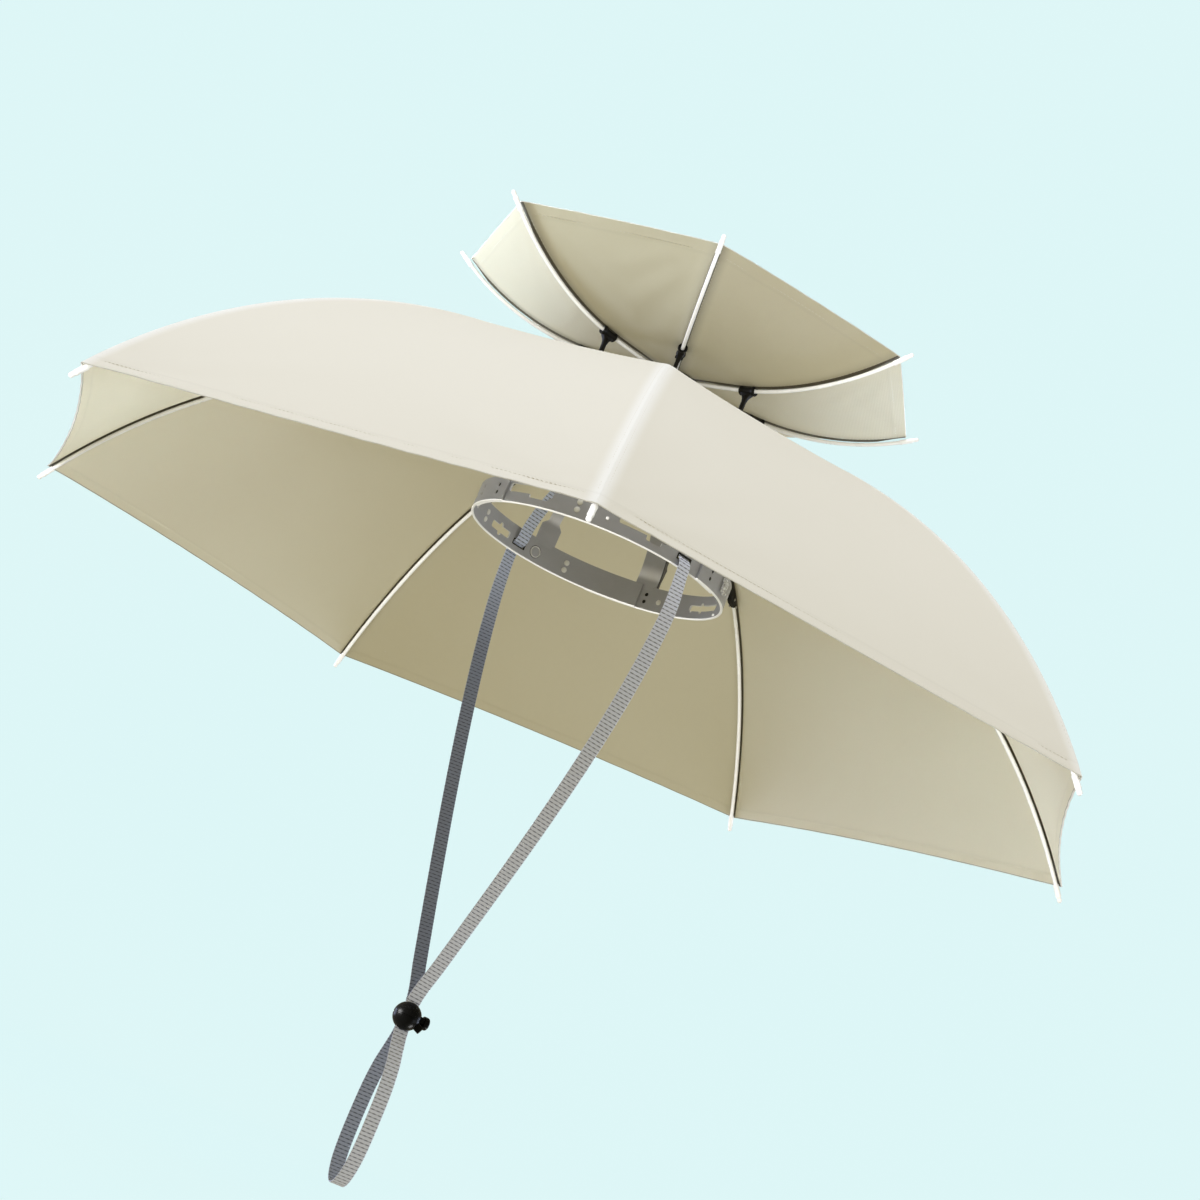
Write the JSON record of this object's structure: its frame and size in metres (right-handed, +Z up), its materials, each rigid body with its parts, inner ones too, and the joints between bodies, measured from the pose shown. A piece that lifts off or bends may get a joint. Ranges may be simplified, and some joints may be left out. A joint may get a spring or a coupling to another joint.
{
  "type": "umbrella hat",
  "caption": "Umbrella hat: a seven-sided canopy with a vent and a flipped-up top canopy, on ribs over a plastic head band, with a chin strap and cord lock.",
  "frame": {"origin": "centre of the head band, in the plane of its bottom edge, where it sits on the head", "axes": "+Z up; -Y towards the near rib, number 1; +X to the right seen from there"},
  "size_m": [0.8714, 0.8497, 0.6949],
  "materials": {
    "canopy_cloth": "plain cream cloth, finely ribbed, matt",
    "bowl_cloth": "plain cream cloth, finely ribbed, matt",
    "rod_white": "smooth white rod",
    "tip_white": "white moulded caps",
    "arm_black": "black moulded plastic",
    "band_grey": "satin grey moulded plastic",
    "edging_white": "white edge",
    "strap_webbing": "grey ribbed webbing",
    "toggle_black": "polished black",
    "cap_metal": "grey metal"
  },
  "bodies": {
    "hat": {"lower_canopy": "canopy_cloth", "upper_canopy": "bowl_cloth", "lower_rib_1": "rod_white", "lower_tip_1": "tip_white", "inner_arm_1": "arm_black", "upper_rib_1": "rod_white", "upper_tip_1": "tip_white", "strut_1": "arm_black", "lower_rib_2": "rod_white", "lower_tip_2": "tip_white", "inner_arm_2": "arm_black", "upper_rib_2": "rod_white", "upper_tip_2": "tip_white", "strut_2": "arm_black", "lower_rib_3": "rod_white", "lower_tip_3": "tip_white", "inner_arm_3": "arm_black", "upper_rib_3": "rod_white", "upper_tip_3": "tip_white", "strut_3": "arm_black", "lower_rib_4": "rod_white", "lower_tip_4": "tip_white", "inner_arm_4": "arm_black", "upper_rib_4": "rod_white", "upper_tip_4": "tip_white", "strut_4": "arm_black", "lower_rib_5": "rod_white", "lower_tip_5": "tip_white", "inner_arm_5": "arm_black", "upper_rib_5": "rod_white", "upper_tip_5": "tip_white", "strut_5": "arm_black", "lower_rib_6": "rod_white", "lower_tip_6": "tip_white", "inner_arm_6": "arm_black", "upper_rib_6": "rod_white", "upper_tip_6": "tip_white", "strut_6": "arm_black", "lower_rib_7": "rod_white", "lower_tip_7": "tip_white", "inner_arm_7": "arm_black", "upper_rib_7": "rod_white", "upper_tip_7": "tip_white", "strut_7": "arm_black", "lower_hub": "arm_black", "upper_hub": "arm_black", "centre_post": "cap_metal", "top_cap": "cap_metal", "band_front": "band_grey", "band_right": "band_grey", "band_left": "band_grey", "band_edging": "edging_white", "strap": "strap_webbing", "toggle_body": "toggle_black"},
    "push_button": {"toggle_button": "toggle_black"}
  },
  "joints": [
    {"name": "button_press", "type": "slide", "parent": "hat", "child": "push_button", "axis": [-0.9272, -0.3746, 0], "range_m": [0, 0.002], "stiffness_N_per_m": 400, "springref_m": -0.002}
  ]
}
